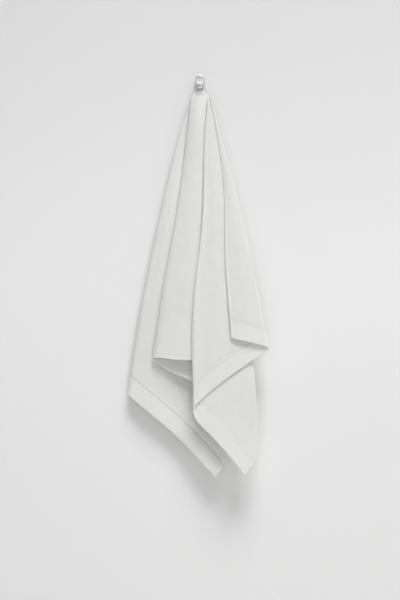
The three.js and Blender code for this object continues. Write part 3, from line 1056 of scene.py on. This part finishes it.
@dataclass
class WallHook:
    """The turned peg with its head, and the base behind it, in millimetres."""

    neck: float = 10.0
    head: float = 11.8
    base_length: float = 6.0
    gap: float = 0.35
    reach: float = 48.0
    head_length: float = 7.0
    edge: float = 1.1
    base_edge: float = 0.4
    edge_steps: int = 5
    round_angle: float = 40.0
    smooth_angle: float = 35.0
    front_normal: float = -0.9
    sides: int = 96

    def turned_start(self, name: str, radius: float, near: float, far: float) -> bpy.types.Object:
        """Adds a cylinder that stands out of the wall.

        Args:
            name: The piece's name.
            radius: Its radius.
            near: Where it starts, out from the wall.
            far: Where it ends.

        Returns:
            The object, active and selected.
        """
        deselect_all()
        bpy.ops.mesh.primitive_cylinder_add(
            vertices=self.sides,
            radius=radius * MM,
            depth=(far - near) * MM,
            end_fill_type="NGON",
            location=(0.0, -(near + far) / 2 * MM, 0.0),
            rotation=(math.pi / 2, 0.0, 0.0),
        )
        piece = bpy.context.object
        piece.name = name
        piece.data.name = name
        apply_place(piece)
        return piece

    def select_front(self, piece: bpy.types.Object) -> None:
        """Selects a piece's front face alone, in edit mode."""
        bpy.ops.object.mode_set(mode="EDIT")
        bpy.ops.mesh.select_mode(type="FACE")
        bpy.ops.mesh.select_all(action="DESELECT")
        bpy.ops.object.mode_set(mode="OBJECT")
        front = min(vertex.co.y for vertex in piece.data.vertices)
        for face in piece.data.polygons:
            face.select = face.normal.y < self.front_normal and abs(face.center.y - front) < TINY
        bpy.ops.object.mode_set(mode="EDIT")

    def finish_piece(
        self, piece: bpy.types.Object, width: float, material: bpy.types.Material, node: str
    ) -> None:
        """Rounds a turned piece's edges, shades it and puts it on its body.

        Args:
            piece: The turned piece.
            width: Radius of its rounded edges.
            material: Its finish.
            node: The solid that it stands for.
        """
        rounding = piece.modifiers.new("rounding", "BEVEL")
        rounding.width = width * MM
        rounding.segments = self.edge_steps
        rounding.limit_method = "ANGLE"
        rounding.angle_limit = math.radians(self.round_angle)
        bpy.ops.object.modifier_apply(modifier=rounding.name)
        face_outward()
        bpy.ops.object.shade_smooth_by_angle(angle=math.radians(self.smooth_angle))
        piece.data.materials.append(material)
        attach(piece, "root")
        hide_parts(node)

    def build(self, finish: ChromeFinish) -> list[bpy.types.Object]:
        """Makes the base and the peg.

        Args:
            finish: The hook's finish.

        Returns:
            The two finished pieces.
        """
        material = finish.material()
        base = self.turned_start("hook_base_disc", self.head, 0.0, self.base_length)
        self.finish_piece(base, self.base_edge, material, "hook_base")
        shaft_end = self.reach - self.head_length
        peg = self.turned_start("hook_peg_head", self.neck, self.base_length + self.gap, shaft_end)
        self.select_front(peg)
        bpy.ops.mesh.extrude_region_move()
        wide = self.head / self.neck
        centre = (0.0, -shaft_end * MM, 0.0)
        bpy.ops.transform.resize(value=(wide, 1.0, wide), center_override=centre)
        outward = (0.0, -self.head_length * MM, 0.0)
        bpy.ops.mesh.extrude_region_move(TRANSFORM_OT_translate={"value": outward})
        bpy.ops.object.mode_set(mode="OBJECT")
        self.finish_piece(peg, self.edge, material, "hook_peg")
        return [base, peg]


@dataclass(frozen=True)
class SoftLight:
    """One area light, by its turn to the right of the camera, its rise and its distance.

    Angles are in degrees, lengths in metres and power in watts.
    """

    name: str
    turn: float
    rise: float
    far: float
    width: float
    height: float
    power: float


LAMPS = (
    SoftLight("key_light", 16.0, 60.0, 6.0, 2.6, 2.4, 290.0),
    SoftLight("side_light", 50.0, 25.0, 3.5, 2.0, 1.4, 7.0),
    SoftLight("front_fill", 0.0, 0.0, 3.0, 2.5, 2.5, 22.0),
)


@dataclass
class Studio:
    """The camera, the lights, the wall behind the towel and the floor, in metres."""

    camera_far: float = 2.5
    camera_x: float = 0.0003
    camera_z: float = -0.555
    image_height: float = 600.0
    focal_pixels: float = 972.8
    wall_y: float = 0.001
    wall_size: tuple[float, float] = (9.0, 6.0)
    floor_z: float = -1.62
    floor_size: tuple[float, float] = (9.0, 7.0)
    lamps: tuple[SoftLight, ...] = LAMPS
    world_strength: float = 0.1
    wall_tone: tuple[float, float, float, float] = (0.88, 0.88, 0.88, 1.0)
    # Painted shade on the wall: it darkens from the bottom of this span to its top, down to this share of
    # its tone.
    shade_span: tuple[float, float] = (-0.6, 0.4)
    shade_share: float = 0.82
    floor_tone: tuple[float, float, float, float] = (0.72, 0.72, 0.71, 1.0)
    mottle_share: float = 0.97

    def place_camera(self) -> None:
        """Sets the camera where the photo was taken from."""
        data = bpy.data.cameras.new("camera")
        data.sensor_width = 36.0
        data.lens = data.sensor_width * self.focal_pixels / self.image_height
        data.clip_end = 50.0
        camera = bpy.data.objects.new("camera", data)
        camera.location = (self.camera_x, -self.camera_far, self.camera_z)
        camera.rotation_euler = (math.pi / 2, 0.0, 0.0)
        bpy.context.scene.collection.objects.link(camera)
        bpy.context.scene.camera = camera

    def backdrop_material(self) -> bpy.types.Material:
        """Matt wall paint, darkened towards the top by painted shade, that is clear from behind, so that
        the towel's back shows.
        """
        material, bench, shader = new_material("matt_wall")
        place = bench.add("ShaderNodeTexCoord").outputs["Object"]
        rise = bench.add("ShaderNodeSeparateXYZ", {0: place}).outputs[2]
        # Painted shade: the wall is darker towards the top.
        top_shade = bench.ramp(rise, *self.shade_span, 0.0, 1.0)
        darker = tuple(self.shade_share * value for value in self.wall_tone[:3]) + (1.0,)
        colour = bench.mix(top_shade, self.wall_tone, darker)
        bench.feed(shader, {"Base Color": colour, "Roughness": 0.9, "Specular IOR Level": 0.1})
        clear = bench.add("ShaderNodeBsdfTransparent")
        behind = bench.add("ShaderNodeNewGeometry").outputs["Backfacing"]
        mixed = bench.add("ShaderNodeMixShader", {0: behind, 1: shader.outputs[0], 2: clear.outputs[0]})
        bench.feed(bench.tree.nodes["Material Output"], {"Surface": mixed.outputs[0]})
        return material

    def floor_material(self) -> bpy.types.Material:
        """Plain pale floor."""
        material, bench, shader = new_material("pale_floor")
        place = bench.add("ShaderNodeTexCoord").outputs["Object"]
        mottle = bench.add("ShaderNodeTexNoise", {"Vector": place, "Scale": 2.0, "Detail": 3.0})
        darker = tuple(self.mottle_share * value for value in self.floor_tone[:3]) + (1.0,)
        colour = bench.mix(mottle.outputs["Fac"], self.floor_tone, darker)
        bench.feed(shader, {"Base Color": colour, "Roughness": 0.8})
        return material

    def plane(
        self, name: str, size: tuple[float, float], place: tuple[float, float, float], tilt: float
    ) -> bpy.types.Object:
        """Adds a plane of the stage.

        Args:
            name: Its name.
            size: Its width and its depth or height.
            place: Its centre.
            tilt: Its turn about X, in degrees.

        Returns:
            The plane.
        """
        deselect_all()
        turn = (math.radians(tilt), 0.0, 0.0)
        bpy.ops.mesh.primitive_plane_add(size=1.0, location=place, rotation=turn)
        made = bpy.context.object
        made.name = name
        made.scale = (size[0], size[1], 1.0)
        apply_place(made)
        return made

    def light(self, lamp: SoftLight) -> None:
        """Adds an area light that points at the towel's middle.

        Args:
            lamp: Where the light stands, how large it is and its power.
        """
        turn, rise = math.radians(lamp.turn), math.radians(lamp.rise)
        toward = Vector((
            math.sin(turn) * math.cos(rise), -math.cos(turn) * math.cos(rise), math.sin(rise)
        ))
        data = bpy.data.lights.new(lamp.name, "AREA")
        data.shape = "RECTANGLE"
        data.size = lamp.width
        data.size_y = lamp.height
        data.energy = lamp.power
        light = bpy.data.objects.new(lamp.name, data)
        light.location = Vector((0.0, 0.0, self.camera_z)) + lamp.far * toward
        light.rotation_euler = toward.to_track_quat("Z", "Y").to_euler()
        bpy.context.scene.collection.objects.link(light)

    def light_room(self) -> None:
        """Sets the even light of the room and how colours are shown."""
        world = bpy.data.worlds.new("soft_room")
        world.use_nodes = True
        background = world.node_tree.nodes["Background"]
        background.inputs["Color"].default_value = (1.0, 1.0, 1.0, 1.0)
        background.inputs["Strength"].default_value = self.world_strength
        bpy.context.scene.world = world
        bpy.context.scene.view_settings.view_transform = "Standard"

    def build(self) -> None:
        """Makes the stage, the lights and the camera."""
        wall_z = self.floor_z + self.wall_size[1] / 2
        wall = self.plane("wall_backdrop", self.wall_size, (0.0, self.wall_y, wall_z), 90.0)
        wall.data.materials.append(self.backdrop_material())
        floor_y = self.wall_y - self.floor_size[1] / 2
        floor = self.plane("pale_floor", self.floor_size, (0.0, floor_y, self.floor_z), 0.0)
        floor.data.materials.append(self.floor_material())
        for lamp in self.lamps:
            self.light(lamp)
        self.light_room()
        self.place_camera()


def main() -> None:
    """Builds the studio, then the towel, its loop and the hook, in that order."""
    logging.basicConfig(level=logging.INFO, format="%(name)s: %(message)s")
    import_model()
    Studio().build()
    LOG.info("studio placed")
    cut = TowelCut()
    groups = ClothGroups(cut)
    towel = HangingCloth(cut).build(TerryFinish(groups))
    LOG.info("%s: %d faces", towel.name, len(towel.data.polygons))
    tape = LoopTape().build(TapeFinish(groups))
    LOG.info("%s: %d faces", tape.name, len(tape.data.polygons))
    for piece in WallHook().build(ChromeFinish()):
        LOG.info("%s: %d faces", piece.name, len(piece.data.polygons))


if __name__ == "__main__":
    main()
